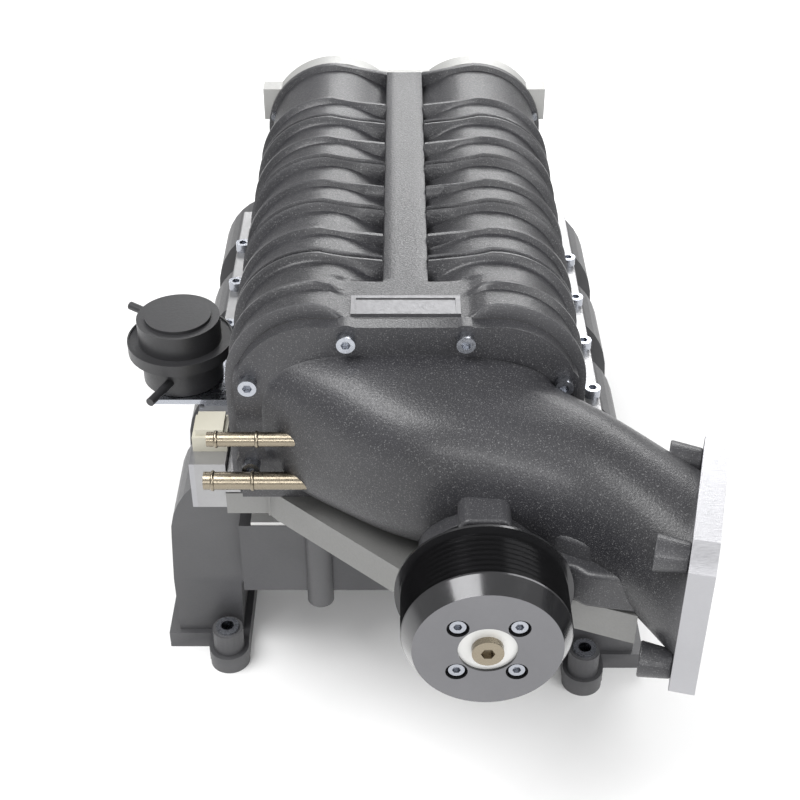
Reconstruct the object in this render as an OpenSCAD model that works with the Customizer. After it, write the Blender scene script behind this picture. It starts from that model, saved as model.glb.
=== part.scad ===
// Twin-rotor supercharger with inlet elbow, deck plate and intake manifold.
// Frame: +X to the throttle side, +Y to the rear, +Z up. Z = 0 is the underside of the port flanges.

/* [Rotor housing] */
// Length of the ribbed housing along the rotors
housing_len = 315; // [300:1:318]
// Radius of each hump over the ribs
hump_r = 49; // [48.5:0.1:50]
// How far the bays between the ribs lie below the ribs
rib_rise = 3.6; // [2.5:0.1:3.9]
// Width of one cross rib
rib_w = 8; // [6:0.5:12]
// Distance from one rib to the next
rib_pitch = 28.9; // [28:0.1:29]
// Width of the flat spine between the humps
spine_w = 24; // [20:1:28]
// Thickness of the side flange
flange_t = 8.5; // [8:0.5:8.5]

/* [Rotors] */
// Pitch radius of a rotor, half the distance between the shafts
pitch_r = 40; // [39.5:0.1:40]
// Clearance taken off each rotor's outline
rotor_gap = 0.45; // [0.4:0.05:0.7]
// Twist of a rotor over its length, in degrees
rotor_twist = 160; // [120:5:160]
// Radius of the rotor shafts
shaft_r = 9; // [8:0.5:9]

/* [Drive] */
// Outside diameter of the grooved pulley
pulley_d = 86; // [80:1:90]
// Number of belt grooves
groove_count = 8; // [6:1:8]
// Distance between belt grooves
groove_pitch = 3.56; // [3.4:0.01:3.6]
// Radius of the input shaft
input_r = 8.5; // [8:0.5:9]

/* [Inlet] */
// Outer radius of the inlet tube
tube_r = 48; // [47:0.5:49]
// Bore radius of the throttle flange
throttle_bore_r = 42; // [38:0.5:42]
// Side of the square of throttle studs
throttle_square = 77; // [74:1:78]

/* [Manifold] */
// Distance between neighbouring ports in one bank
port_pitch = 100; // [98:1:100]
// How much one bank lies ahead of the other
bank_offset = 19.5; // [15:0.5:20]
// Sideways distance from the middle to the port bolts
foot_bolt_x = 116.5; // [115:0.5:117]
// Radius of the port bolt holes
foot_bolt_r = 4.2; // [3.3:0.1:4.2]

/* [Bypass actuator] */
// Radius of the actuator cap
cap_r = 25; // [24:0.5:26]
// Travel of the actuator rod
rod_travel = 16; // [12:0.5:16]

/* [Hidden] */
$fn = 64;

// ---- Heights and stations shared by several parts ----
flange_top = 187;
deck_top = 178;
gasket_t = 0.5;
deck_bottom = 163;
rear_y = 166;
front_y = rear_y - housing_len;
hump_x = 48;
hump_z = 256;
spine_z = 298;
side_x = 97;
flange_x = 120;
screw_x = 115.5;
rotor_z = 243;
rotor_x = pitch_r;
bore_r = 1.25 * pitch_r + 0.3;
rotor_y0 = -135;
rotor_y1 = 136;
ring_r_out = 20;
notch_x = -103;
notch_y = -55.5;

// Input axis: one gear centre distance below the drive rotor
step_teeth = 20;
step_module = 2.5;
input_x = rotor_x;
input_z = rotor_z - step_teeth * step_module;
timing_teeth = 32;
timing_module = 2 * pitch_r / timing_teeth;
pulley_y = -285;

// Inlet tube: mouth centre and heading
mouth = [145, -232, 202];
mouth_turn = -14;

left_screws_y = [110, 58, 6, -46];
right_screws_y = [90, 38, -14, -66];
front_screws = [[-31.2, 290.8], [31.2, 290.8], [-84, 263], [84, 263], [-85.5, 207]];
elbow_face_y = -158;

left_port_y = -68.5;
right_port_y = left_port_y - bank_offset;
end_bolt = 42.5;
foot_t = 13;

valve_x = -112.3;
valve_bore_r = 9;
valve_plate_r = 8.7;
valve_y = -104;
valve_z = 176;
lever_r = 15;
lever_half = asin(rod_travel / 2 / lever_r);
actuator_x = -136.4;
actuator_y = -57;

// ---- Helpers ----
// Extrudes an X-Z outline along Y from y0 to y1
module along_y(y0, y1) {
    translate([0, y1, 0]) rotate([90, 0, 0]) linear_extrude(y1 - y0) children();
}

// A cylinder along Y whose near end is at y0
module rod_y(x, z, r, y0, y1) {
    translate([x, y1, z]) rotate([90, 0, 0]) cylinder(r = r, h = y1 - y0);
}

// A cap screw with a hex socket, its head's underside at the origin and its shank down -Z
module cap_screw(d, shank) {
    difference() {
        union() {
            cylinder(d = 1.65 * d, h = d);
            translate([0, 0, -shank]) cylinder(d = d, h = shank + 0.01);
        }
        translate([0, 0, 0.45 * d]) cylinder(d = 0.9 * d, h = d, $fn = 6);
    }
}

// The same screw pointing rearward
module cap_screw_y(d, shank) {
    rotate([90, 0, 0]) cap_screw(d, shank);
}

// Two copies, one for each side
module both_sides() {
    children();
    mirror([1, 0, 0]) children();
}

// Places children in the inlet tube's frame: +X points out of the mouth
module at_mouth() {
    translate(mouth) rotate([0, 0, mouth_turn]) children();
}

// Involute gear outline with a tooth on +X
function involute(base, r) = let (t = sqrt(max(0, r * r / base / base - 1))) (t * 180 / PI - atan(t));
function flank(base, half, r, side) = let (a = side * (half - involute(base, r))) [r * cos(a), r * sin(a)];
function gear_points(teeth, m, play) =
    let (rp = teeth * m / 2, base = rp * cos(20), tip = rp + m, root = rp - 1.25 * m,
         half = 90 / teeth - play / rp * 180 / PI + involute(base, rp),
         start = max(base, root + 0.2))
    [for (i = [0:teeth - 1]) let (turn = 360 * i / teeth, c = cos(turn), s = sin(turn))
        for (p = concat(
            [[root * cos(-half), root * sin(-half)]],
            [for (k = [0:3]) flank(base, half, start + (tip - start) * k / 3, -1)],
            [for (k = [3:-1:0]) flank(base, half, start + (tip - start) * k / 3, 1)],
            [[root * cos(half), root * sin(half)]]))
            [p[0] * c - p[1] * s, p[0] * s + p[1] * c]];

module gear(x, z, teeth, m, phase, bore, y0, y1) {
    difference() {
        translate([x, 0, z]) along_y(y0, y1) rotate(phase) polygon(gear_points(teeth, m, 0.16));
        rod_y(x, z, bore, y0 - 1, y1 + 1);
    }
}

// Cycloidal four-lobe outline, with a lobe on +X: epicycloid lobes and hypocycloid hollows of equal arc
lobes = 4;
roll_r = pitch_r / (2 * lobes);
function lobe_point(u) = let (a = u * 360 / (2 * lobes))
    floor(u + 0.5) % 2 == 0
    ? [(pitch_r + roll_r) * cos(a) + roll_r * cos((pitch_r + roll_r) / roll_r * a),
       (pitch_r + roll_r) * sin(a) + roll_r * sin((pitch_r + roll_r) / roll_r * a)]
    : [(pitch_r - roll_r) * cos(a) - roll_r * cos((pitch_r - roll_r) / roll_r * a),
       (pitch_r - roll_r) * sin(a) + roll_r * sin((pitch_r - roll_r) / roll_r * a)];
lobe_steps = 8;
rotor_outline = [for (i = [0:2 * lobes * lobe_steps - 1]) lobe_point(i / lobe_steps)];

// ---- Rotor housing ----
// Cross section: two humps, straight sides and the spine; drop lowers the humps to bay level
module housing_outline(drop) {
    both_sides() translate([hump_x, hump_z]) circle(r = hump_r - drop);
    translate([-side_x + drop, deck_top + gasket_t]) square([2 * (side_x - drop), hump_z - deck_top - gasket_t]);
    translate([-hump_x, hump_z - 30]) square([2 * hump_x, 58 - drop]);
    both_sides() translate([rotor_x, rotor_z]) circle(r = bore_r + 3);
}

module spine_outline() {
    translate([-spine_w / 2, hump_z]) square([spine_w, spine_z - hump_z]);
    both_sides() polygon([[0, hump_z], [spine_w / 2, spine_z], [hump_x, hump_z + hump_r], [hump_x, hump_z]]);
}

module rotor_bores(r, y0, y1) {
    both_sides() rod_y(rotor_x, rotor_z, r, y0, y1);
}

module left_notch() {
    translate([notch_x - 60, -200, 150.5]) cube([60, 200 + notch_y, 60]);
}

module side_holes(r, z0, z1) {
    for (y = left_screws_y) translate([-screw_x, y, z0]) cylinder(r = r, h = z1 - z0);
    for (y = right_screws_y) translate([screw_x, y, z0]) cylinder(r = r, h = z1 - z0);
}

module rotor_housing() color("#35353a") difference() {
    union() {
        along_y(front_y, rear_y) housing_outline(rib_rise);
        along_y(front_y + 38, rear_y) translate([-spine_w / 2, hump_z]) square([spine_w, spine_z - hump_z]);
        for (i = [0:9]) {
            y = 107 - rib_pitch * i + (i % 2 == 1 ? 2.2 : 0);
            along_y(max(y - rib_w / 2, front_y), y + rib_w / 2) {
                housing_outline(0);
                spine_outline();
            }
        }
        translate([-36, front_y, hump_z]) cube([72, 38, spine_z - hump_z]);
        translate([-flange_x, front_y, deck_top + gasket_t])
            cube([2 * flange_x, housing_len, flange_t]);
        for (p = front_screws) rod_y(p[0], p[1], 7, front_y, front_y + 14);
    }
    rotor_bores(bore_r, front_y - 1, rear_y + 1);
    translate([0, 0, deck_top - 1]) linear_extrude(60) polygon([[0, -70], [44, 118], [-44, 118]]);
    left_notch();
    side_holes(3.3, deck_top - 1, flange_top + 1);
    for (p = front_screws) rod_y(p[0], p[1], 3.05, front_y - 1, front_y + 12);
    both_sides() for (z = [200, 268]) rod_y(92, z, 2.55, rear_y - 12, rear_y + 1);
}

module badge_plate() color("#8a8a8e") difference() {
    translate([-29, -146.5, spine_z]) cube([58, 17.9, 1.2]);
    translate([-26.5, -144, spine_z + 0.6]) cube([53, 12.9, 1]);
}

module housing_gasket() color("#202020") difference() {
    translate([-flange_x + 1, front_y, deck_top]) cube([2 * flange_x - 2, housing_len - 1, gasket_t]);
    translate([0, 0, deck_top - 1]) linear_extrude(3) polygon([[0, -75], [47, 120], [-47, 120]]);
    left_notch();
    side_holes(3.3, deck_top - 1, deck_top + 2);
}

module housing_screws() color("silver") {
    for (y = left_screws_y) translate([-screw_x, y, flange_top]) cap_screw(6, 20);
    for (y = right_screws_y) translate([screw_x, y, flange_top]) cap_screw(6, 20);
}

// ---- Rear end cover, which also closes the timing gear chamber ----
module rear_cover() color("#d8d8d2") difference() {
    union() {
        along_y(rear_y + 0.3, rear_y + 14) {
            both_sides() translate([hump_x, hump_z]) circle(r = hump_r - 0.5);
            translate([-side_x + 1, deck_top + 9]) square([2 * side_x - 2, hump_z - deck_top - 9]);
            translate([-hump_x, hump_z]) square([2 * hump_x, 38]);
            both_sides() translate([78, 262]) square([22, 23]);
        }
        both_sides() for (z = [200, 268]) rod_y(92, z, 7.5, rear_y + 0.3, rear_y + 14);
    }
    rotor_bores(44, rear_y - 1, rear_y + 9);
    both_sides() for (z = [200, 268]) rod_y(92, z, 2.7, rear_y - 1, rear_y + 15);
}

module rear_cover_screws() color("silver") both_sides() for (z = [200, 268])
    translate([92, rear_y + 14, z]) rotate([-90, 0, 0]) cap_screw(5, 24);

// ---- Bearing plates, set into the two bores ----
module plate_blank(y0, y1) {
    difference() {
        rotor_bores(bore_r - 0.02, y0, y1);
        both_sides() rod_y(rotor_x, rotor_z, ring_r_out, y0 - 1, y1 + 1);
    }
}

module front_bearing_plate() color("#9a9a9a") difference() {
    plate_blank(front_y, -137);
    // Two inlet windows around each bearing seat
    both_sides() along_y(front_y - 1, -136) translate([rotor_x, rotor_z]) intersection() {
        difference() {
            circle(r = 44);
            circle(r = 26);
        }
        polygon([[0, 0], [60, -40], [60, 60], [-10, 60]]);
    }
    for (p = front_screws) rod_y(p[0], p[1], 3.05, front_y - 1, front_y + 12);
}

module rear_bearing_plate() color("#9a9a9a") plate_blank(138, 150);

// Ring pairs: the outer ring is held by a plate, the inner ring turns with its shaft
module outer_ring(x, z, y0, y1) difference() {
    rod_y(x, z, ring_r_out, y0, y1);
    rod_y(x, z, 16.5, y0 - 1, y1 + 1);
}

module inner_ring(x, z, r, y0, y1) difference() {
    rod_y(x, z, 14.5, y0, y1);
    rod_y(x, z, r, y0 - 1, y1 + 1);
}

module front_bearing_outer_rings() color("#b8bcc4") both_sides() outer_ring(rotor_x, rotor_z, front_y + 1, -139);
module rear_bearing_outer_rings() color("#b8bcc4") both_sides() outer_ring(rotor_x, rotor_z, 139, 149.5);

module rotor_seals() color("#4a3020") both_sides() {
    difference() {
        rod_y(rotor_x, rotor_z, ring_r_out, -139, -137.2);
        rod_y(rotor_x, rotor_z, shaft_r + 0.1, -140, -136);
    }
    difference() {
        rod_y(rotor_x, rotor_z, ring_r_out, 138, 139);
        rod_y(rotor_x, rotor_z, shaft_r + 0.1, 137, 140);
    }
}

// ---- Rotors ----
module rotor_body(x, phase, twist) {
    translate([x, rotor_y1, rotor_z]) rotate([90, 0, 0])
        linear_extrude(rotor_y1 - rotor_y0, twist = twist, slices = 26) rotate(phase) difference() {
            offset(delta = -rotor_gap) polygon(rotor_outline);
            circle(r = shaft_r + 0.15, $fn = 24);
        }
}

module drive_rotor() color("#b0b0b4") rotor_body(rotor_x, 45, rotor_twist);
module driven_rotor() color("#a4a4aa") rotor_body(-rotor_x, 0, -rotor_twist);

module drive_rotor_shaft() color("#c8c8cc") rod_y(rotor_x, rotor_z, shaft_r, -169, 163);
module driven_rotor_shaft() color("#c8c8cc") rod_y(-rotor_x, rotor_z, shaft_r, -147, 163);

module drive_rotor_inner_rings() color("#b8bcc4") {
    inner_ring(rotor_x, rotor_z, shaft_r, front_y + 1, -139.2);
    inner_ring(rotor_x, rotor_z, shaft_r, 139.2, 149.5);
}

module driven_rotor_inner_rings() color("#b8bcc4") {
    inner_ring(-rotor_x, rotor_z, shaft_r, front_y + 1, -139.2);
    inner_ring(-rotor_x, rotor_z, shaft_r, 139.2, 149.5);
}

module drive_timing_gear() color("#8f8f98")
    gear(rotor_x, rotor_z, timing_teeth, timing_module, 180 / timing_teeth, shaft_r, 151.5, 161.5);
module driven_timing_gear() color("#8f8f98")
    gear(-rotor_x, rotor_z, timing_teeth, timing_module, 0, shaft_r, 151.5, 161.5);

// ---- Step gears: they carry the drive from the low input shaft up to the rotor ----
case_y0 = -174;
step_y0 = -168;
step_y1 = -157;
module step_gear_upper() color("#8f8f98")
    gear(rotor_x, rotor_z, step_teeth, step_module, 180 / step_teeth, shaft_r, step_y0, step_y1);
module step_gear_lower() color("#8f8f98")
    gear(input_x, input_z, step_teeth, step_module, 0, input_r, step_y0, step_y1);

module capsule(r) {
    translate([input_x, input_z]) circle(r = r);
    translate([rotor_x, rotor_z]) circle(r = r);
    translate([input_x - r, input_z]) square([2 * r, rotor_z - input_z]);
}

module drive_gear_case() color("#6f6f72") difference() {
    along_y(case_y0, -149.6) capsule(31);
    along_y(case_y0 + 3, -149) capsule(28.6);
    rod_y(input_x, input_z, ring_r_out, case_y0 - 1, case_y0 + 4);
}

// ---- Inlet elbow ----
elbow_joint_z = 183;
snout_r = 24;

// Hose barbs: radius and height of each
barbs = [[4, 234], [5, 205]];
barb_y = -170;

module elbow_outline(inset) {
    both_sides() translate([hump_x, hump_z - 2]) circle(r = 44 - inset);
    translate([-92 + inset, elbow_joint_z + inset]) square([184 - 2 * inset, hump_z - 2 - elbow_joint_z - inset]);
    translate([-hump_x, hump_z]) square([2 * hump_x, 42 - inset]);
}

// Where the scoop leaves the flange, inside the ring of screws
module scoop_outline(inset) {
    both_sides() translate([rotor_x, 244]) circle(r = 36 - inset, $fn = 32);
    translate([-76 + inset, 170]) square([152 - 2 * inset, 74]);
    translate([-rotor_x, 200]) square([2 * rotor_x, 80 - inset]);
}

// Section of the duct above the end of the pulley, flattened so that it clears the pulley's rear rim
module duct_section(inset) translate([84, -192, 214]) scale([1, 0.83, 1]) rotate([0, 90, 0])
    cylinder(r = 46 - inset, h = 1, $fn = 40);

module scoop(inset) hull() {
    translate([0, -157, 0]) rotate([90, 0, 0]) linear_extrude(1) scoop_outline(inset);
    duct_section(inset);
    translate([2, -204, 170]) cylinder(r = 13 - inset, h = 56 - inset, $fn = 24);
}

module mouth_section(x, inset) at_mouth() translate([x, 0, 0]) rotate([0, 90, 0])
    cylinder(r = tube_r - inset, h = inset > 0 ? 3 : 1, $fn = 48);

module tube(inset) {
    hull() {
        duct_section(inset);
        mouth_section(-16, inset);
    }
    hull() {
        mouth_section(-16, inset);
        mouth_section(-1, inset);
    }
}

apron_end_x = 124;
module below_joint() {
    translate([-200, -400, 100]) cube([200 + apron_end_x + 0.5, 300, elbow_joint_z - 100]);
}

// The squared foot of the elbow that stands on the deck apron
module elbow_foot(inset) translate([0, 0, 170]) linear_extrude(34 - inset) offset(delta = -inset)
    polygon([[-70, -152], [0, -214], [84, -234], [118, -248], [122, -215], [84, -152]]);

module at_lugs() {
    at_mouth() for (a = [45:90:315]) rotate([a, 0, 0])
        translate([0, 0, throttle_square * sqrt(2) / 2]) rotate([0, 90, 0]) children();
}

module inlet_elbow() color("#2c2c30") difference() {
    union() {
        along_y(elbow_face_y, front_y - gasket_t) {
            elbow_outline(0);
            translate([-92, 176]) square([184, 30]);
            for (p = front_screws) translate(p) circle(r = 8.5);
        }
        scoop(0);
        tube(0);
        elbow_foot(0);
        at_lugs() translate([0, 0, -11]) hull() {
            cylinder(r = 7, h = 11);
            translate([9, 0, 0]) cylinder(r = 8, h = 10);
        }
        rod_y(input_x, input_z, 33, -226, -200);
    }
    scoop(6);
    tube(6);
    elbow_foot(6);
    along_y(elbow_face_y - 5, -140) intersection() {
        scoop_outline(8);
        translate([-100, 189.5]) square([200, 120]);
    }
    at_lugs() translate([0, 0, -12]) cylinder(r = 3.3, h = 14);
    rod_y(input_x, input_z, snout_r + 0.1, -240, case_y0 + 1);
    rod_y(input_x, input_z, 30.5, -240, -226);
    along_y(case_y0, -140) capsule(31.2);
    for (p = front_screws) rod_y(p[0], p[1], 3.3, elbow_face_y - 20, -140);
    for (b = barbs) translate([-120, barb_y, b[1]]) rotate([0, 90, 0]) cylinder(r = b[0] + 0.1, h = 70);
    below_joint();
}

module front_gasket() color("#202020") along_y(front_y - gasket_t, front_y) difference() {
    elbow_outline(0);
    for (p = front_screws) translate(p) circle(r = 3.4);
    both_sides() translate([rotor_x, rotor_z]) circle(r = bore_r);
    capsule(31.2);
    translate([-200, 100]) square([400, 90]);
}

module front_flange_screws() color("silver") for (p = front_screws)
    translate([p[0], elbow_face_y, p[1]]) cap_screw_y(6, 18);

module throttle_flange() color("#d2d2d4") difference() {
    at_mouth() intersection() {
        translate([0, -52, -52]) cube([13, 104, 104]);
        translate([0, 0, 0]) rotate([0, 90, 0]) cylinder(r = 66, h = 13);
    }
    at_mouth() translate([-1, 0, 0]) rotate([0, 90, 0]) cylinder(r = throttle_bore_r, h = 16);
    at_lugs() translate([0, 0, -1]) cylinder(r = 3.3, h = 16);
}

// ---- Snout, input shaft and pulley ----
snout_y = pulley_y + 25;
module snout_housing() color("#3a3a3e") difference() {
    union() {
        rod_y(input_x, input_z, snout_r, snout_y, case_y0);
        rod_y(input_x, input_z, 30, -232, -226);
    }
    rod_y(input_x, input_z, 16.5, snout_y - 1, case_y0 + 1);
    rod_y(input_x, input_z, ring_r_out, snout_y - 1, snout_y + 14);
    rod_y(input_x, input_z, ring_r_out, case_y0 - 12, case_y0 + 1);
}

module snout_bearing_outer_rings() color("#b8bcc4") {
    outer_ring(input_x, input_z, snout_y + 4, snout_y + 14);
    outer_ring(input_x, input_z, case_y0 - 12, case_y0 - 2);
}

module snout_bearing_inner_rings() color("#b8bcc4") {
    inner_ring(input_x, input_z, input_r, snout_y + 4, snout_y + 14);
    inner_ring(input_x, input_z, input_r, case_y0 - 12, case_y0 - 2);
}

module snout_seal() color("#4a3020") difference() {
    rod_y(input_x, input_z, ring_r_out, snout_y, snout_y + 3.5);
    rod_y(input_x, input_z, input_r + 0.1, snout_y - 1, snout_y + 4);
}

module input_shaft() color("#c8c8cc") difference() {
    rod_y(input_x, input_z, input_r, pulley_y + 6, -156);
    rod_y(input_x, input_z, 3.4, pulley_y + 5, pulley_y + 28);
}

hub_ring_r = 14.8;
screw_circle_r = 21.2;

module pulley_hub() color("#c9c4ba") difference() {
    union() {
        rod_y(input_x, input_z, hub_ring_r, pulley_y + 1.5, pulley_y + 12);
        rod_y(input_x, input_z, 28, pulley_y + 12, pulley_y + 18);
        rod_y(input_x, input_z, 13.5, pulley_y + 18, snout_y - 0.6);
    }
    rod_y(input_x, input_z, input_r, pulley_y + 6, snout_y);
    rod_y(input_x, input_z, 3.4, pulley_y, pulley_y + 7);
    for (a = [45:90:315]) rod_y(input_x + screw_circle_r * cos(a), input_z + screw_circle_r * sin(a),
        2.6, pulley_y + 10, pulley_y + 19);
}

pulley_r = pulley_d / 2;
groove_depth = 3.1;
groove_y0 = 10.5;
module pulley_profile() difference() {
    polygon(concat([[hub_ring_r + 0.05, 0], [pulley_r - 5.5, 0], [pulley_r - 0.5, groove_y0 - 0.6]],
        [for (i = [0:groove_count - 1]) for (p = [[0, 0], [0.4, 0.5], [1, 0.5]])
            [pulley_r - groove_depth * p[1] * 2, groove_y0 + groove_pitch * (i + p[0] + (p[1] > 0 ? 0.12 : 0.0))]],
        [[pulley_r, groove_y0 + groove_pitch * groove_count + 0.6], [pulley_r + 3, 39.5], [pulley_r + 3, 41],
         [32, 41], [30.5, 12], [hub_ring_r + 0.05, 12]]));
}

module pulley() color("#1c1c1f") difference() {
    translate([input_x, pulley_y, input_z]) rotate([-90, 0, 0]) rotate_extrude($fn = 96) pulley_profile();
    for (a = [45:90:315]) {
        rod_y(input_x + screw_circle_r * cos(a), input_z + screw_circle_r * sin(a), 2.7, pulley_y, pulley_y + 14);
        rod_y(input_x + screw_circle_r * cos(a), input_z + screw_circle_r * sin(a), 5.6, pulley_y - 1, pulley_y + 6);
    }
}

module pulley_screws() color("silver") for (a = [45:90:315])
    translate([input_x + screw_circle_r * cos(a), pulley_y + 6, input_z + screw_circle_r * sin(a)])
        cap_screw_y(5, 11);

module hub_bolt() color("#b9b2a4") translate([input_x, pulley_y + 1.5, input_z]) rotate([90, 0, 0]) difference() {
    union() {
        cylinder(r = 8, h = 4);
        translate([0, 0, -24]) cylinder(r = 3.3, h = 24.01);
    }
    translate([0, 0, 1]) cylinder(r = 3.6, h = 5, $fn = 6);
}

// ---- Deck plate with its front apron ----
module deck_plate() color("#97978f") difference() {
    union() {
        translate([-flange_x, front_y, deck_bottom]) cube([2 * flange_x, housing_len, deck_top - deck_bottom]);
        translate([0, 0, deck_bottom]) linear_extrude(elbow_joint_z - deck_bottom)
            polygon([[-79, front_y - gasket_t], [-74, -155], [0, -220], [84, -239], [119, -252],
                [apron_end_x, -215], [98, front_y - gasket_t]]);
        translate([-79, front_y - 2, deck_bottom]) cube([177, 3, deck_top - deck_bottom]);
        intersection() {
            rod_y(input_x, input_z, 35, case_y0 - 4, front_y);
            translate([0, -200, 150]) cube([92, 60, elbow_joint_z - 150]);
        }
    }
    translate([0, 0, deck_bottom - 1]) linear_extrude(deck_top) polygon([[0, -75], [47, 120], [-47, 120]]);
    left_notch();
    side_holes(3.3, deck_bottom - 1, deck_top + 1);
    rod_y(input_x, input_z, snout_r, -240, case_y0 + 1);
    rod_y(input_x, input_z, 33, -240, -200);
    along_y(case_y0, -149.6) capsule(31);
    translate([notch_x - 1, valve_y, 170.5]) rotate([0, 90, 0]) cylinder(r = 6, h = 24);
    translate([-93, valve_y, deck_bottom - 1]) cylinder(r = 5, h = 8);
}

// ---- Intake manifold ----
box_x = 103;
box_y0 = -112;
box_y1 = 262;
box_z0 = 65;
ledge_y = -90;
ledge_z = 120;
runner_w = 55;

// Outline of one runner in X-Z: out of the box wall, over a round shoulder and down to the port flange
module runner_outline(inset) {
    polygon(concat([[96, 72 + inset], [96, 150 - inset]],
        [for (a = [90:-10:0]) [104 + (45 - inset) * cos(a), 96 + (54 - inset) * sin(a)]],
        [[151 - inset, 60], [151 - inset, -1 + (inset > 0 ? 0 : 1)], [109 + inset, -1 + (inset > 0 ? 0 : 1)],
         [107 + inset, 56 + inset]]));
}

module runners(inset) {
    for (i = [0:3]) {
        translate([0, left_port_y + port_pitch * i, 0]) mirror([1, 0, 0])
            along_y(-runner_w / 2 + inset, runner_w / 2 - inset) runner_outline(inset);
        translate([0, right_port_y + port_pitch * i, 0])
            along_y(-runner_w / 2 + inset, runner_w / 2 - inset) runner_outline(inset);
    }
}

function bolt_stations(first) = concat([first - end_bolt], [for (i = [0:2]) first + port_pitch * (i + 0.5)],
    [first + 3 * port_pitch + end_bolt]);

module at_foot_bolts() {
    for (y = bolt_stations(left_port_y)) translate([-foot_bolt_x, y, 0]) children();
    for (y = bolt_stations(right_port_y)) translate([foot_bolt_x, y, 0]) children();
}

module bank_flange(first) {
    for (i = [0:3]) translate([104, first + port_pitch * i - 31, 0]) cube([54, 62, foot_t]);
    translate([104, first - end_bolt, 0]) cube([26, 3 * port_pitch + 2 * end_bolt, foot_t]);
}

module manifold() color("#58585a") difference() {
    union() {
        translate([-box_x, box_y0, box_z0]) cube([2 * box_x, box_y1 - box_y0, ledge_z - box_z0]);
        translate([-box_x, ledge_y, ledge_z - 1]) cube([2 * box_x, box_y1 - ledge_y, 159 - ledge_z + 1]);
        translate([-flange_x, ledge_y, 151]) cube([2 * flange_x, rear_y - ledge_y, deck_bottom - 151]);
        runners(0);
        mirror([1, 0, 0]) bank_flange(left_port_y);
        bank_flange(right_port_y);
        at_foot_bolts() cylinder(r = 13, h = foot_t);
        for (y = bolt_stations(left_port_y)) translate([-foot_bolt_x, y, 0]) cylinder(r = 10, h = 30);
        for (y = bolt_stations(right_port_y)) translate([foot_bolt_x, y, 0]) cylinder(r = 10, h = 30);
        translate([-54, box_y0, 58]) cylinder(r = 8.5, h = 62);
    }
    translate([-box_x + 5, box_y0 + 5, box_z0 + 5]) cube([2 * box_x - 10, box_y1 - box_y0 - 10, 45]);
    translate([-box_x + 5, ledge_y + 5, 100]) cube([2 * box_x - 10, box_y1 - ledge_y - 10, 52]);
    translate([-box_x + 5, ledge_y + 5, 140]) cube([2 * box_x - 10, 158 - ledge_y, 40]);
    runners(5);
    left_notch();
    side_holes(2.6, 145, deck_bottom + 1);
    at_foot_bolts() translate([0, 0, -1]) cylinder(r = 7.5, h = 40);
    at_ports() seal_ring(-1, 1.5);
}

// Machined cover on the front ledge, over the coolant tank
module coolant_cover() color("#ececec")
    translate([-95.5, box_y0 + 0.5, ledge_z]) cube([103.5, ledge_y - box_y0 - 1, 2.5]);

module at_ports() {
    for (i = [0:3]) {
        translate([-130, left_port_y + port_pitch * i, 0]) children();
        translate([130, right_port_y + port_pitch * i, 0]) children();
    }
}

module seal_ring(z0, z1) difference() {
    translate([-20, -26.5, z0]) cube([40, 53, z1 - z0]);
    translate([-18, -24.5, z0 - 1]) cube([36, 49, z1 - z0 + 2]);
}

module port_seals() color("#1e1e1e") at_ports() seal_ring(0, 1.5);

module foot_bushings() color("silver") at_foot_bolts() difference() {
    cylinder(r = 7.5, h = 32);
    translate([0, 0, -1]) cylinder(r = foot_bolt_r, h = 40);
}

module core(side) {
    translate([side > 0 ? 6 : -94, -80, 78]) difference() {
        cube([88, 240, 56]);
        for (i = [0:15]) translate([4, 8 + i * 14.2, -1]) cube([80, 8, 58]);
    }
}

module intercooler_core_left() color("#b4b4b8") core(-1);
module intercooler_core_right() color("#b4b4b8") core(1);

// ---- Hose barbs in the elbow's left cheek ----
module barb(r, x0, x1, y, z) {
    translate([x0, y, z]) rotate([0, 90, 0]) rotate_extrude() {
        difference() {
            union() {
                square([r, x1 - x0]);
                translate([r - 0.3, 5]) circle(r = 1.1);
                translate([r - 0.3, 27]) circle(r = 1.1);
            }
            translate([-1, -1]) square([r - 1.2 + 1, x1 - x0 + 2]);
        }
    }
}

module hose_barb_upper() color("#c8bfa8") barb(barbs[0][0], -107, -54, barb_y, barbs[0][1]);
module hose_barb_lower() color("#c8bfa8") barb(barbs[1][0], -111, -54, barb_y, barbs[1][1]);

// ---- Bypass valve and its linkage ----
module bypass_housing() color("#c6c9cc") difference() {
    translate([valve_x - 9, -140, 160]) cube([18, 72, 32]);
    translate([valve_x - 10, valve_y, valve_z]) rotate([0, 90, 0]) cylinder(r = valve_bore_r, h = 20);
    rod_y(valve_x, valve_z, 3.05, -136, -60);
}

module bypass_cover() color("#d4d6d8") difference() {
    translate([valve_x - 12, -140, 160]) cube([3, 72, 32]);
    translate([valve_x - 13, -84, 176]) rotate([0, 90, 0]) cylinder(r = 2.2, h = 8);
}

module bypass_cover_screw() color("silver") translate([valve_x - 12, -84, 176]) rotate([0, -90, 0]) cap_screw(4, 3);

module butterfly(r, t) {
    translate([valve_x, valve_y, valve_z]) rotate([0, 90 + 2 * lever_half, 0])
        translate([0, 0, -t / 2]) cylinder(r = r, h = t);
}

module bypass_lever_shaft() color("#b6b8bc") {
    difference() {
        rod_y(valve_x, valve_z, 3, -134, -58);
        butterfly(valve_plate_r, 1.6);
    }
    along_y(-66.5, -62) difference() {
        translate([valve_x, valve_z]) rotate(180 - lever_half) {
            circle(r = 5);
            translate([0, -3.5]) square([lever_r, 7]);
            translate([lever_r, 0]) circle(r = 3.5);
        }
        translate([valve_x, valve_z]) circle(r = 2.9);
    }
    rod_y(valve_x - lever_r * cos(lever_half), valve_z + lever_r * sin(lever_half), 2, -63, -55.8);
}

module bypass_plate() color("#b89a58") butterfly(valve_plate_r, 1.6);

module pressure_sensor() color("#dcdbd0") {
    translate([-123, -128, 192]) cube([20, 22, 10]);
    translate([-121, -126, 202]) cube([16, 18, 4]);
}

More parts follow.
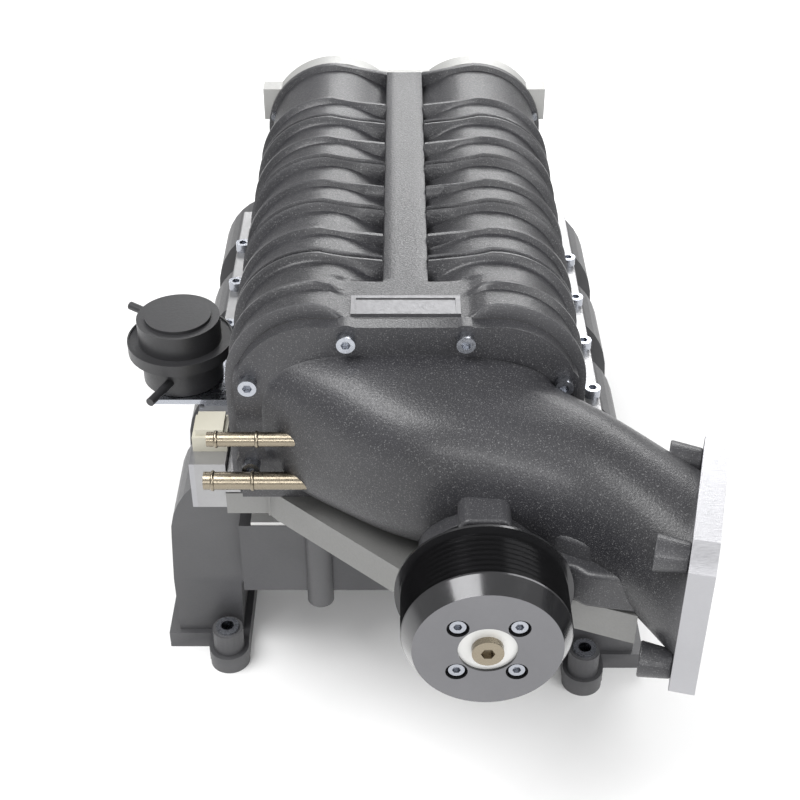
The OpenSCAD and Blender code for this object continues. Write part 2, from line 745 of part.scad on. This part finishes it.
module actuator_bracket() color("#c9ccd0") difference() {
    union() {
        translate([-152, -84, 193.3]) cube([47, 52, 3.3]);
        translate([-110.4, -54, flange_top]) cube([5.4, 22, 7]);
        translate([valve_x - 9, -84, 192]) cube([17, 14, 2]);
    }
    translate([actuator_x, actuator_y, 190]) cylinder(r = 6.6, h = 8);
}

act_bottom = 197;
act_rim = 221;
act_top = 241;
spring_top = 237.5;
plate_top = 228.5;
module actuator_body() color("#1d1d20") translate([actuator_x, actuator_y, 0]) difference() {
    union() {
        translate([0, 0, act_bottom]) cylinder(r = 24.5, h = act_rim - act_bottom);
        translate([0, 0, act_rim - 3]) cylinder(r = 31, h = 3);
        translate([0, 0, 190]) cylinder(r = 6.5, h = 8);
        translate([-3, -20, 207]) rotate([90, 0, -25]) cylinder(r = 2.6, h = 26);
    }
    translate([0, 0, act_bottom + 2]) cylinder(r = 22.5, h = 30);
    translate([0, 0, 180]) cylinder(r = 3.05, h = 30);
}

module actuator_cap() color("#1d1d20") translate([actuator_x, actuator_y, 0]) difference() {
    union() {
        translate([0, 0, act_rim]) cylinder(r = 31, h = 2.5);
        translate([0, 0, act_rim]) cylinder(r = cap_r, h = act_top - act_rim - 2);
        translate([0, 0, act_rim]) cylinder(r = cap_r - 5, h = act_top - act_rim);
        rotate(-35) translate([-22, 0, 232]) rotate([0, -90, 0]) cylinder(r = 2.6, h = 17.9);
    }
    translate([0, 0, act_rim - 1]) cylinder(r = cap_r - 2, h = spring_top - act_rim + 1);
}

module actuator_crimp_ring() color("#2a2a2e") translate([actuator_x, actuator_y, act_rim - 4]) difference() {
    cylinder(r = 32, h = 7.5);
    translate([0, 0, -1]) cylinder(r = 31, h = 10);
}

// Coil spring swept along a helix
coil_turns = 3;
coil_steps = 20;
function coil_ring(i) = let (a = 360 * i / coil_steps, z = 1.2 + 6.6 * i / (coil_turns * coil_steps))
    [for (k = [0:5]) let (b = 60 * k, r = 13 + 1 * cos(b)) [r * cos(a), r * sin(a), z + 1 * sin(b)]];
module actuator_spring() color("#9a9aa0") translate([actuator_x, actuator_y, plate_top]) {
    n = coil_turns * coil_steps;
    polyhedron(
        points = [for (i = [0:n]) each coil_ring(i)],
        faces = concat([[for (k = [5:-1:0]) k]], [[for (k = [0:5]) n * 6 + k]],
            [for (i = [0:n - 1]) for (k = [0:5])
                [i * 6 + k, i * 6 + (k + 1) % 6, (i + 1) * 6 + (k + 1) % 6, (i + 1) * 6 + k]]));
}

module actuator_rod() color("#a8acb0") {
    pin_z = valve_z + lever_r * sin(lever_half);
    slot_x = valve_x - lever_r * (1 + cos(lever_half)) / 2;
    translate([actuator_x, actuator_y, pin_z + 3.5]) cylinder(r = 3, h = plate_top - pin_z - 4);
    translate([actuator_x, actuator_y, plate_top - 3]) cylinder(r = 20, h = 3);
    difference() {
        translate([actuator_x - 3, -61.4, pin_z - 5]) cube([slot_x + 6.5 - actuator_x + 3, 5.3, 10]);
        translate([slot_x - 1.6, -70, pin_z]) rotate([-90, 0, 0]) cylinder(r = 2.6, h = 30);
        translate([slot_x + 1.6, -70, pin_z]) rotate([-90, 0, 0]) cylinder(r = 2.6, h = 30);
        translate([slot_x - 1.6, -70, pin_z - 2.6]) cube([3.2, 30, 5.2]);
    }
}

rotor_housing();
badge_plate();
housing_gasket();
housing_screws();
rear_cover();
rear_cover_screws();
front_bearing_plate();
rear_bearing_plate();
front_bearing_outer_rings();
rear_bearing_outer_rings();
rotor_seals();
drive_rotor();
drive_rotor_shaft();
drive_rotor_inner_rings();
drive_timing_gear();
step_gear_upper();
driven_rotor();
driven_rotor_shaft();
driven_rotor_inner_rings();
driven_timing_gear();
inlet_elbow();
front_gasket();
front_flange_screws();
throttle_flange();
drive_gear_case();
snout_housing();
snout_bearing_outer_rings();
snout_seal();
input_shaft();
snout_bearing_inner_rings();
step_gear_lower();
pulley_hub();
pulley();
pulley_screws();
hub_bolt();
deck_plate();
intercooler_core_left();
intercooler_core_right();
manifold();
coolant_cover();
port_seals();
foot_bushings();
hose_barb_upper();
hose_barb_lower();
bypass_housing();
bypass_cover();
bypass_cover_screw();
bypass_lever_shaft();
bypass_plate();
pressure_sensor();
actuator_bracket();
actuator_body();
actuator_cap();
actuator_crimp_ring();
actuator_spring();
actuator_rod();
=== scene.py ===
import bpy
import bmesh
import math
from mathutils import Vector, Matrix


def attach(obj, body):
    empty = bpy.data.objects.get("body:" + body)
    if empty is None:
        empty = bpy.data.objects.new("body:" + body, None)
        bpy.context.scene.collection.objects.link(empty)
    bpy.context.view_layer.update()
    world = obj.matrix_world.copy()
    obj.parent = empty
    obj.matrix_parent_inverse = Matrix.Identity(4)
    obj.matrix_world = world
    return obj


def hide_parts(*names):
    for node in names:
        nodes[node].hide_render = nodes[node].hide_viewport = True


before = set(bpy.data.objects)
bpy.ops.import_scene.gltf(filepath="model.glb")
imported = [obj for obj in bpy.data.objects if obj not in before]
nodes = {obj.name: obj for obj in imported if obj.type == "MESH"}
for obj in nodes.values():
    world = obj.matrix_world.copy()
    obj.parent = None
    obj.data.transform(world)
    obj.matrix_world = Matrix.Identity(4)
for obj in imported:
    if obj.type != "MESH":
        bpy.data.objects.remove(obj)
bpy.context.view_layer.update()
MM = 0.001

# ---- Camera: in front of and above the object, looking down along +Y ----
CAMERA_PLACE = (-0.003, -0.762, 0.700)
LOOK_DOWN = 36.6
LENS, SENSOR = 63.0, 36.0
scene = bpy.context.scene
cam_data = bpy.data.cameras.new("camera")
cam_data.lens = LENS
cam_data.sensor_width = SENSOR
cam_data.clip_start = 0.05
cam = bpy.data.objects.new("camera", cam_data)
cam.location = CAMERA_PLACE
cam.rotation_euler = (math.radians(90 - LOOK_DOWN), 0, 0)
scene.collection.objects.link(cam)
scene.camera = cam

# ---- Stage ----
scene.view_settings.view_transform = "Standard"
scene.view_settings.look = "None"


def area(name, loc, target, size, power, color=(1, 1, 1)):
    """A soft box light that faces target."""
    data = bpy.data.lights.new(name, "AREA")
    data.shape = "RECTANGLE"
    data.size, data.size_y = size
    data.energy = power
    data.color = color
    ob = bpy.data.objects.new(name, data)
    ob.location = loc
    ob.rotation_euler = (Vector(target) - Vector(loc)).to_track_quat("-Z", "Y").to_euler()
    scene.collection.objects.link(ob)
    return ob


area("key", (-0.55, -0.35, 1.35), (0.0, -0.05, 0.2), (0.9, 0.7), 17)
area("fill", (0.95, -0.9, 0.9), (0.05, -0.1, 0.2), (0.7, 0.9), 9)
area("rim", (0.35, 1.15, 1.0), (0.0, 0.05, 0.25), (1.2, 0.5), 13)
area("front", (0.1, -1.5, 0.75), (0.03, -0.25, 0.2), (0.9, 0.35), 7)

world = bpy.data.worlds.new("studio")
scene.world = world
world.use_nodes = True
world.node_tree.nodes["Background"].inputs["Color"].default_value = (1, 1, 1, 1)
world.node_tree.nodes["Background"].inputs["Strength"].default_value = 0.62


# ---- Materials ----
def material(name, color, metallic=0.0, rough=0.5, grain=400.0, bump=0.05, spread=0.08,
             vary=0.12, edge_wear_and_highlight=0.0, edge_wear_and_highlight_color=(0.6, 0.6, 0.6), coat=0.0, brushed=None, sparkle=0.0):
    """Node material: varied tone and roughness, a fine bump, and lighter convex edges (partly wear, partly a
    painted edge highlight) or brushing if asked.
    """
    mat = bpy.data.materials.new(name)
    mat.use_nodes = True
    tree = mat.node_tree
    shader = tree.nodes["Principled BSDF"]
    link = tree.links.new
    shader.inputs["Metallic"].default_value = metallic
    shader.inputs["Coat Weight"].default_value = coat
    shader.inputs["Coat Roughness"].default_value = 0.12
    coords = tree.nodes.new("ShaderNodeTexCoord")
    mapping = tree.nodes.new("ShaderNodeMapping")
    link(coords.outputs["Object"], mapping.inputs["Vector"])
    if brushed:
        mapping.inputs["Scale"].default_value = brushed

    def noise(scale, detail, source):
        n = tree.nodes.new("ShaderNodeTexNoise")
        n.inputs["Scale"].default_value = scale
        n.inputs["Detail"].default_value = detail
        link(source, n.inputs["Vector"])
        return n.outputs["Fac"]

    def ramp(source, stops):
        r = tree.nodes.new("ShaderNodeValToRGB")
        r.color_ramp.elements[0].position = stops[0][0]
        r.color_ramp.elements[0].color = (*stops[0][1], 1)
        r.color_ramp.elements[1].position = stops[-1][0]
        r.color_ramp.elements[1].color = (*stops[-1][1], 1)
        for pos, c in stops[1:-1]:
            r.color_ramp.elements.new(pos).color = (*c, 1)
        link(source, r.inputs["Fac"])
        return r.outputs["Color"]

    broad = noise(14.0, 4.0, coords.outputs["Object"])
    fine = noise(grain, 3.0, mapping.outputs["Vector"])
    low = tuple(c * (1 - vary) for c in color)
    high = tuple(min(1.0, c * (1 + vary)) for c in color)
    tone = ramp(broad, [(0.35, low), (0.65, high)])
    if sparkle:
        # Light speckles added to the base colour: painted glints on the grain of the coat.
        spots = ramp(noise(grain * 1.7, 1.0, coords.outputs["Object"]),
                     [(0.60, (0, 0, 0)), (0.72, (sparkle,) * 3)])
        add = tree.nodes.new("ShaderNodeMixRGB")
        add.blend_type = "ADD"
        add.inputs["Fac"].default_value = 1.0
        link(tone, add.inputs["Color1"])
        link(spots, add.inputs["Color2"])
        tone = add.outputs["Color"]
    if edge_wear_and_highlight:
        # Lighter colour on convex edges by pointiness: partly wear, partly a painted highlight along the
        # edges.
        geometry = tree.nodes.new("ShaderNodeNewGeometry")
        edge = ramp(geometry.outputs["Pointiness"], [(0.52, (0, 0, 0)), (0.60, (edge_wear_and_highlight,) * 3)])
        mix = tree.nodes.new("ShaderNodeMixRGB")
        link(edge, mix.inputs["Fac"])
        link(tone, mix.inputs["Color1"])
        mix.inputs["Color2"].default_value = (*edge_wear_and_highlight_color, 1)
        tone = mix.outputs["Color"]
    link(tone, shader.inputs["Base Color"])
    link(ramp(fine, [(0.3, (max(rough - spread, 0.03),) * 3), (0.7, (min(rough + spread, 1.0),) * 3)]),
         shader.inputs["Roughness"])
    bumper = tree.nodes.new("ShaderNodeBump")
    bumper.inputs["Strength"].default_value = min(1.0, bump * 8)
    bumper.inputs["Distance"].default_value = 0.00025
    link(fine, bumper.inputs["Height"])
    link(bumper.outputs["Normal"], shader.inputs["Normal"])
    return mat


black_coat = material("black_powder_coat", (0.021, 0.021, 0.024), 0.0, 0.40, 900, 0.10, 0.10, 0.22,
                      edge_wear_and_highlight=0.35, edge_wear_and_highlight_color=(0.11, 0.11, 0.115), coat=0.06, sparkle=0.09)
manifold_coat = material("manifold_satin_coat", (0.060, 0.060, 0.064), 0.2, 0.46, 700, 0.05, 0.06, 0.14,
                         edge_wear_and_highlight=0.12, edge_wear_and_highlight_color=(0.3, 0.3, 0.3))
cast_raw = material("cast_aluminium", (0.40, 0.40, 0.39), 0.45, 0.52, 620, 0.08, 0.10, 0.08)
side_metal = material("side_flange_metal", (0.34, 0.34, 0.345), 0.75, 0.38, 500, 0.05, 0.08, 0.07)
deck_metal = material("deck_matt_aluminium", (0.215, 0.215, 0.21), 0.55, 0.50, 800, 0.05, 0.06, 0.06)
machined = material("machined_aluminium", (0.36, 0.36, 0.375), 0.8, 0.38, 260, 0.03, 0.07, 0.05,
                    brushed=(1.0, 7.0, 7.0))
machined_white = material("machined_white", (0.60, 0.60, 0.59), 0.35, 0.42, 700, 0.03, 0.06, 0.04)
zinc = material("zinc_plate", (0.36, 0.375, 0.41), 1.0, 0.28, 380, 0.03, 0.08, 0.08)
nickel = material("nickel_champagne", (0.27, 0.235, 0.18), 1.0, 0.28, 320, 0.02, 0.06, 0.05)
steel = material("ground_steel", (0.60, 0.61, 0.63), 1.0, 0.22, 300, 0.03, 0.07, 0.06,
                 brushed=(9.0, 1.0, 9.0))
spring_steel = material("spring_steel", (0.42, 0.43, 0.45), 1.0, 0.30, 300, 0.03, 0.07, 0.06)
black_plastic = material("black_plastic", (0.026, 0.026, 0.028), 0.0, 0.40, 650, 0.03, 0.06, 0.12)
pulley_gloss = material("pulley_gloss_black", (0.030, 0.030, 0.032), 0.6, 0.20, 260, 0.01, 0.04, 0.12,
                        coat=0.6)
pulley_satin = material("pulley_satin_grey", (0.150, 0.150, 0.158), 0.55, 0.38, 420, 0.02, 0.05, 0.06)
rubber = material("rubber", (0.030, 0.029, 0.028), 0.0, 0.68, 700, 0.05, 0.06, 0.12)
cream = material("cream_plastic", (0.50, 0.48, 0.40), 0.0, 0.46, 500, 0.03, 0.06, 0.05)
brass = material("brass_plate", (0.62, 0.47, 0.22), 1.0, 0.30, 300, 0.03, 0.06, 0.06)
rotor_metal = material("rotor_aluminium", (0.62, 0.62, 0.64), 1.0, 0.30, 300, 0.03, 0.06, 0.06)
badge_metal = material("badge_grey", (0.13, 0.13, 0.135), 0.7, 0.34, 500, 0.03, 0.06, 0.06)

FINISH = {
    "rotor_housing": black_coat, "badge_plate": badge_metal, "housing_gasket": rubber, "housing_screws": zinc,
    "rear_cover": cast_raw, "rear_cover_screws": zinc, "front_bearing_plate": deck_metal,
    "rear_bearing_plate": deck_metal, "front_bearing_outer_rings": steel, "rear_bearing_outer_rings": steel,
    "rotor_seals": rubber, "drive_rotor": rotor_metal, "drive_rotor_shaft": steel,
    "drive_rotor_inner_rings": steel, "drive_timing_gear": steel, "step_gear_upper": steel,
    "driven_rotor": rotor_metal, "driven_rotor_shaft": steel, "driven_rotor_inner_rings": steel,
    "driven_timing_gear": steel, "inlet_elbow": black_coat, "front_gasket": rubber,
    "front_flange_screws": zinc, "throttle_flange": machined, "drive_gear_case": deck_metal,
    "snout_housing": black_coat, "snout_bearing_outer_rings": steel, "snout_seal": rubber,
    "input_shaft": steel, "snout_bearing_inner_rings": steel, "step_gear_lower": steel,
    "pulley_hub": machined_white, "pulley": pulley_gloss, "pulley_screws": zinc, "hub_bolt": nickel,
    "deck_plate": deck_metal, "intercooler_core_left": cast_raw, "intercooler_core_right": cast_raw,
    "manifold": manifold_coat, "coolant_cover": machined_white, "port_seals": rubber, "foot_bushings": zinc,
    "hose_barb_upper": nickel, "hose_barb_lower": nickel, "bypass_housing": side_metal,
    "bypass_cover": machined, "bypass_cover_screw": zinc, "bypass_lever_shaft": steel, "bypass_plate": brass,
    "pressure_sensor": cream, "actuator_bracket": zinc, "actuator_body": black_plastic,
    "actuator_cap": black_plastic, "actuator_crimp_ring": black_plastic, "actuator_spring": spring_steel,
    "actuator_rod": steel,
}
for name, finish in FINISH.items():
    mesh = nodes[name].data
    mesh.materials.clear()
    mesh.materials.append(finish)


# ---- Places shared by the new pieces, in millimetres ----
ROTOR_X, ROTOR_Z, INPUT_Z = 40.0, 243.0, 193.0
BORE_R, BORE_WALL = 50.3, 3.0
HOUSING_Y0, HOUSING_Y1 = -149.0, 166.0
SIDE_X, HUMP_X, HUMP_Z, HUMP_R = 97.0, 48.0, 256.0, 49.0
SPINE_Z = 298.0
BAY_DROP = 3.6
FOOT_Z, FLANGE_TOP, FLANGE_X = 178.5, 187.0, 120.0
NOTCH_X, NOTCH_Y = -103.0, -55.5
ELBOW_FACE_Y, GASKET_Y = -158.0, -149.5
JOINT_Z = 183.2
SNOUT_HOLE_R, CASE_HOLE_R = 24.1, 31.2
DUCT_WALL = 6


# ---- Mesh helpers, in millimetres ----
def cleaned(mesh, sharp):
    """Joins doubled points, turns every face outwards and keeps edges over the angle sharp."""
    bm = bmesh.new()
    bm.from_mesh(mesh)
    bmesh.ops.remove_doubles(bm, verts=bm.verts, dist=2e-6)
    bmesh.ops.dissolve_degenerate(bm, edges=bm.edges, dist=2e-6)
    bmesh.ops.recalc_face_normals(bm, faces=bm.faces)
    bm.to_mesh(mesh)
    bm.free()
    mesh.shade_smooth()
    mesh.set_sharp_from_angle(angle=math.radians(sharp))


def made(name, verts, faces, finish=None, sharp=35.0):
    """An object from points in millimetres."""
    mesh = bpy.data.meshes.new(name)
    mesh.from_pydata([(x * MM, y * MM, z * MM) for x, y, z in verts], [], faces)
    cleaned(mesh, sharp)
    if finish:
        mesh.materials.append(finish)
    ob = bpy.data.objects.new(name, mesh)
    scene.collection.objects.link(ob)
    return ob


def prism(name, verts, finish):
    """Closed solid from two matching rings of points, listed one after the other."""
    n = len(verts) // 2
    faces = [[i, (i + 1) % n, n + (i + 1) % n, n + i] for i in range(n)]
    faces += [list(range(n))[::-1], list(range(n, 2 * n))]
    return made(name, verts, faces, finish)


def prism_y(name, outline, y0, y1, finish=None):
    """Closed solid from an X-Z outline between y0 and y1."""
    return prism(name, [(x, y, z) for y in (y0, y1) for x, z in outline], finish)


def prism_z(name, outline, z0, z1, finish=None):
    """Closed solid from an X-Y outline between z0 and z1."""
    return prism(name, [(x, y, z) for z in (z0, z1) for x, y in outline], finish)


def circle(cx, cz, r, n=64):
    """X-Z points of a whole circle."""
    angles = [2 * math.pi * i / n for i in range(n)]
    return [(cx + r * math.cos(a), cz + r * math.sin(a)) for a in angles]


def capsule(r, n=24):
    """Outline round both step gears: centres on the input axis and the drive rotor axis."""
    points = []
    for centre, start in ((ROTOR_Z, 0), (INPUT_Z, 1)):
        for i in range(n + 1):
            a = math.pi * (start + i / n)
            points.append((ROTOR_X + r * math.cos(a), centre + r * math.sin(a)))
    return points


def boolean(ob, tool, operation="DIFFERENCE"):
    """Cuts tool out of ob, or joins it on, and then removes tool."""
    mod = ob.modifiers.new("join", "BOOLEAN")
    mod.operation = operation
    mod.solver = "MANIFOLD"
    mod.object = tool
    graph = bpy.context.evaluated_depsgraph_get()
    mesh = bpy.data.meshes.new_from_object(ob.evaluated_get(graph))
    ob.modifiers.clear()
    ob.data = mesh
    bpy.data.objects.remove(tool)
    return ob


def soften(ob, width, segments=2, angle=40.0):
    """Rounds the sharp edges."""
    mod = ob.modifiers.new("bevel", "BEVEL")
    mod.width = width * MM
    mod.segments = segments
    mod.limit_method = "ANGLE"
    mod.angle_limit = math.radians(angle)
    mod.harden_normals = True
    return ob


def smooth_step(a, b, t):
    """0 below a, 1 above b and smooth between them."""
    u = min(1.0, max(0.0, (t - a) / (b - a)))
    return u * u * (3 - 2 * u)


def along(points, s):
    """Catmull-Rom curve through points at s from 0 to 1."""
    n = len(points) - 1
    k = min(int(s * n), n - 1)
    t = s * n - k
    p0, p1, p2, p3 = (points[max(k - 1, 0)], points[k], points[k + 1], points[min(k + 2, n)])
    return [0.5 * (2 * b + (c - a) * t + (2 * a - 5 * b + 4 * c - d) * t * t
                   + (3 * b - a - 3 * c + d) * t ** 3)
            for a, b, c, d in zip(p0, p1, p2, p3)]


# ---- Ribbed rotor housing ----
# Each raised band from its rear lip to the middle of its double front lip
BANDS = [(107, 80.5), (49.5, 22.5), (-8.5, -35), (-66.5, -92), (-124.5, -149.5)]
BAND_HEIGHT, LIP_HEIGHT = 0.34, 1.25


def rib_height(y):
    """0 on the floor of a bay, more on a raised band, most on its lips, and 1 on the rear rim."""
    h = 0.0
    for back, front in BANDS:
        inside = smooth_step(front - 1.5, front + 1.5, y) * smooth_step(-back - 1.5, -back + 1.5, -y)
        h = max(h, BAND_HEIGHT * inside)
        for line, half in ((back, 2.3), (front - 2.6, 1.5), (front + 2.6, 1.5)):
            h = max(h, LIP_HEIGHT * (1 - smooth_step(half - 0.9, half + 0.9, abs(y - line))))
    return max(h, smooth_step(161.0, 162.5, y))


def half_profile(w):
    """X-Z points from the foot of the side wall to the middle of the spine; w is the rib height."""
    drop = BAY_DROP * (1 - w)
    radius = HUMP_R - drop
    pts = [(SIDE_X - drop, FOOT_Z + (HUMP_Z - FOOT_Z) * i / 8) for i in range(8)]
    pts += [(HUMP_X + radius * math.cos(a), HUMP_Z + radius * math.sin(a))
            for a in (math.pi / 2 * i / 16 for i in range(17))]
    for i in range(1, 10):
        x = HUMP_X - 35.2 * i / 9
        rib = HUMP_Z + HUMP_R - 7 * (HUMP_X - x) / 36
        over_hump = HUMP_Z + math.sqrt((HUMP_R - BAY_DROP) ** 2 - (HUMP_X - x) ** 2)
        over_bore = ROTOR_Z + math.sqrt((BORE_R + BORE_WALL) ** 2 - (ROTOR_X - x) ** 2)
        bay = max(over_hump, over_bore)
        pts.append((x, bay + (rib - bay) * w))
    return pts + [(12.2, SPINE_Z - 0.4), (11.6, SPINE_Z), (5, SPINE_Z), (0, SPINE_Z)]


def bore_point(x, z):
    """Where the ray from (0, 243) through (x, z) leaves the pair of bores."""
    a = math.atan2(z - ROTOR_Z, x)
    c = ROTOR_X * abs(math.cos(a))
    s = ROTOR_X * math.sin(a)
    r = c + math.sqrt(max(BORE_R ** 2 - s * s, 0.0))
    return r * math.cos(a), ROTOR_Z + r * math.sin(a)


def housing_shell():
    """The outer skin from front to rear, the two bores inside it, and the faces that close both ends."""
    rows = []
    count = 252
    for j in range(count + 1):
        y = HOUSING_Y0 + (HOUSING_Y1 - HOUSING_Y0) * j / count
        pad = 1 - smooth_step(-112.0, -109.5, y)
        half = []
        for x, z in half_profile(rib_height(y)):
            m = pad * (1 - smooth_step(35.0, 38.0, x))
            half.append((x, z + (SPINE_Z - z) * m))
        outer = [(-x, z) for x, z in half] + half[-2::-1] + [(x, FOOT_Z) for x in (60, 0, -60)]
        inner = [bore_point(x, z) for x, z in outer]
        rows.append([(x, y, z) for x, z in outer + inner])
    n = len(rows[0]) // 2
    verts = [v for row in rows for v in row]
    faces = []
    for j in range(count):
        a, b = 2 * n * j, 2 * n * (j + 1)
        for i in range(n):
            k = (i + 1) % n
            faces.append([a + i, a + k, b + k, b + i])
            faces.append([a + n + k, a + n + i, b + n + i, b + n + k])
    for base in (0, 2 * n * count):
        for i in range(n):
            k = (i + 1) % n
            faces.append([base + i, base + k, base + n + k, base + n + i])
    return made("housing_shell", verts, faces, black_coat, 42.0)


shell = housing_shell()
inner_x = SIDE_X - 4
left_flange = prism_z("side_flange_left", [(-FLANGE_X, HOUSING_Y1), (-FLANGE_X, NOTCH_Y), (NOTCH_X, NOTCH_Y),
                                           (NOTCH_X, HOUSING_Y0), (-inner_x, HOUSING_Y0),
                                           (-inner_x, HOUSING_Y1)], FOOT_Z, FLANGE_TOP, side_metal)
right_flange = prism_z("side_flange_right", [(inner_x, HOUSING_Y1), (inner_x, HOUSING_Y0),
                                             (FLANGE_X, HOUSING_Y0), (FLANGE_X, HOUSING_Y1)],
                       FOOT_Z, FLANGE_TOP, side_metal)
for plate in (left_flange, right_flange):
    soften(plate, 0.7)
for part in (shell, left_flange, right_flange):
    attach(part, "housing")
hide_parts("rotor_housing")

# ---- Inlet elbow: smooth scoop, mounting flange, lugs and snout boss ----
TURN = math.radians(-14)
MOUTH = (145.0, -232.0, 202.0)
FRONT_SCREWS = [(-31.2, 290.8), (31.2, 290.8), (-84, 263), (84, 263), (-85.5, 207)]
# The lugs of the mouth, in metres
LUG_LENGTH, LUG_CIRCLE_R = 0.017, 0.0525
LUG_BASE_R, LUG_END_R = 0.0095, 0.0075


def elbow_ring(s, inset, n=72):
    """Section of the duct at s: squarish at 0, by the front flange, and round at 1, the mouth."""
    front = along([(-78, -158), (-50, -181), (0, -213), (84, -230.5), (133.4, -278.6)], s)
    back = along([(78, -158), (82, -157), (88, -157), (112, -164), (156.6, -185.4)], s)
    top = along([(281,), (280,), (274,), (263,), (250,)], s)[0]
    low = along([(JOINT_Z,), (JOINT_Z,), (JOINT_Z,), (178,), (154,)], s)[0]
    power = 3.4 - 1.4 * smooth_step(0.2, 0.95, s)
    cx, cy = (front[0] + back[0]) / 2, (front[1] + back[1]) / 2
    ax, ay = (back[0] - front[0]) / 2, (back[1] - front[1]) / 2
    length = math.hypot(ax, ay)
    k = (length - inset) / length
    h = (top - low) / 2 - inset
    ring = []
    for i in range(n):
        a = 2 * math.pi * i / n
        c, d = math.cos(a), math.sin(a)
        c = math.copysign(abs(c) ** (2 / power), c)
        d = math.copysign(abs(d) ** (2 / power), d)
        ring.append((cx + ax * k * c, cy + ay * k * c, (top + low) / 2 + h * d))
    return ring


def elbow_duct():
    """The outer skin out to the mouth and the inner skin back, closed at both ends."""
    steps, n = 40, 72
    rings = [elbow_ring(i / steps, 0) for i in range(steps + 1)]
    rings += [elbow_ring(1 - i / steps, DUCT_WALL) for i in range(steps + 1)]
    verts = [v for ring in rings for v in ring]
    faces = []
    for j in range(len(rings)):
        a, b = n * j, n * ((j + 1) % len(rings))
        faces += [[a + i, a + (i + 1) % n, b + (i + 1) % n, b + i] for i in range(n)]
    return made("elbow_duct", verts, faces, black_coat, 40.0)


def mounting_flange():
    """Front flange: two shoulders, straight sides, a boss round each screw and the window of the duct."""
    shoulder = [math.pi / 2 * i / 14 for i in range(15)]
    outline = [(-92, JOINT_Z), (92, JOINT_Z), (92, 254)]
    outline += [(48 + 44 * math.cos(a), 254 + 44 * math.sin(a)) for a in shoulder[1:]]
    outline += [(-48 - 44 * math.sin(a), 254 + 44 * math.cos(a)) for a in shoulder]
    base = prism_y("flange_base", outline, ELBOW_FACE_Y, GASKET_Y, black_coat)
    for x, z in FRONT_SCREWS:
        ring = prism_y("boss", circle(x, z, 8.5, 40), ELBOW_FACE_Y, GASKET_Y, black_coat)
        boolean(base, ring, "UNION")
    boolean(base, prism_y("window", [(x, z) for x, _, z in elbow_ring(0, DUCT_WALL + 2)], -165, -140))
    return base


def snout_hole():
    return prism_y("bore", circle(ROTOR_X, INPUT_Z, SNOUT_HOLE_R), -246, -172)


def cut_for_drive(ob):
    """Clears the snout housing and the case of the step gears."""
    boolean(ob, snout_hole())
    boolean(ob, prism_y("case", capsule(CASE_HOLE_R), -174, -140))
    return ob


duct = cut_for_drive(elbow_duct())
flange = cut_for_drive(mounting_flange())
boss_arc = [(ROTOR_X + 33 * math.cos(a), INPUT_Z + 33 * math.sin(a))
            for a in (math.pi * (i - 0.09) / 30 for i in range(1, 31))]
boss = prism_y("snout_boss", [(7, JOINT_Z), (73, JOINT_Z)] + boss_arc, -227, -196, black_coat)
boolean(boss, snout_hole())
pad = prism_y("snout_pad", [(26.5, 219), (53.5, 219), (53.5, 232), (50, 235.5), (30, 235.5), (26.5, 232)],
              -238, -204, black_coat)
foot = prism_z("elbow_foot_pad", [(70, -190), (70, -236), (86, -241), (92, -246), (122, -252), (127, -247),
                                  (130, -190)], 183.3, 207, black_coat)
step = prism_z("elbow_foot_step", [(76, -180), (76, -228), (92, -236), (116, -241), (122, -236),
                                   (124, -180)], 200, 219, black_coat)


def mouth_lug(number):
    """One of four tapered bosses behind the mouth flange, for its screws."""
    place = (Matrix.Translation(Vector(MOUTH) * MM) @ Matrix.Rotation(TURN, 4, "Z")
             @ Matrix.Rotation(math.radians(90 * number - 45), 4, "X")
             @ Matrix.Translation((-LUG_LENGTH / 2, 0, LUG_CIRCLE_R)) @ Matrix.Rotation(math.pi / 2, 4, "Y"))
    bm = bmesh.new()
    bmesh.ops.create_cone(bm, cap_ends=True, segments=40, radius1=LUG_BASE_R, radius2=LUG_END_R,
                          depth=LUG_LENGTH, matrix=place)
    mesh = bpy.data.meshes.new("lug")
    bm.to_mesh(mesh)
    bm.free()
    mesh.materials.append(black_coat)
    lug = bpy.data.objects.new("elbow_lug_%d" % number, mesh)
    scene.collection.objects.link(lug)
    return soften(lug, 1.0)


lugs = [mouth_lug(number) for number in range(1, 5)]
for ob, width in ((flange, 0.9), (boss, 1.2), (pad, 2.2), (foot, 3.0), (step, 4.0)):
    cleaned(ob.data, 35.0)
    soften(ob, width)
cleaned(duct.data, 40.0)
for ob in [duct, flange, boss, pad, foot, step] + lugs:
    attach(ob, "housing")
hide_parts("inlet_elbow")

# ---- Pulley: satin face inside a gloss bevel ----
PULLEY_FACE_Y = -0.275
pulley = nodes["pulley"].data
pulley.materials.append(pulley_satin)
for poly in pulley.polygons:
    if poly.normal.y < -0.97 and poly.center.y < PULLEY_FACE_Y:
        poly.material_index = 1

# ---- Floor ----
floor_mesh = bpy.data.meshes.new("floor")
reach = 6.0
floor_mesh.from_pydata([(-reach, -reach, 0), (reach, -reach, 0), (reach, reach, 0), (-reach, reach, 0)],
                       [], [(0, 1, 2, 3)])
floor = bpy.data.objects.new("floor", floor_mesh)
scene.collection.objects.link(floor)
floor_mesh.materials.append(material("floor_white", (0.86, 0.86, 0.86), 0.0, 0.85, 40, 0.0, 0.03, 0.01))
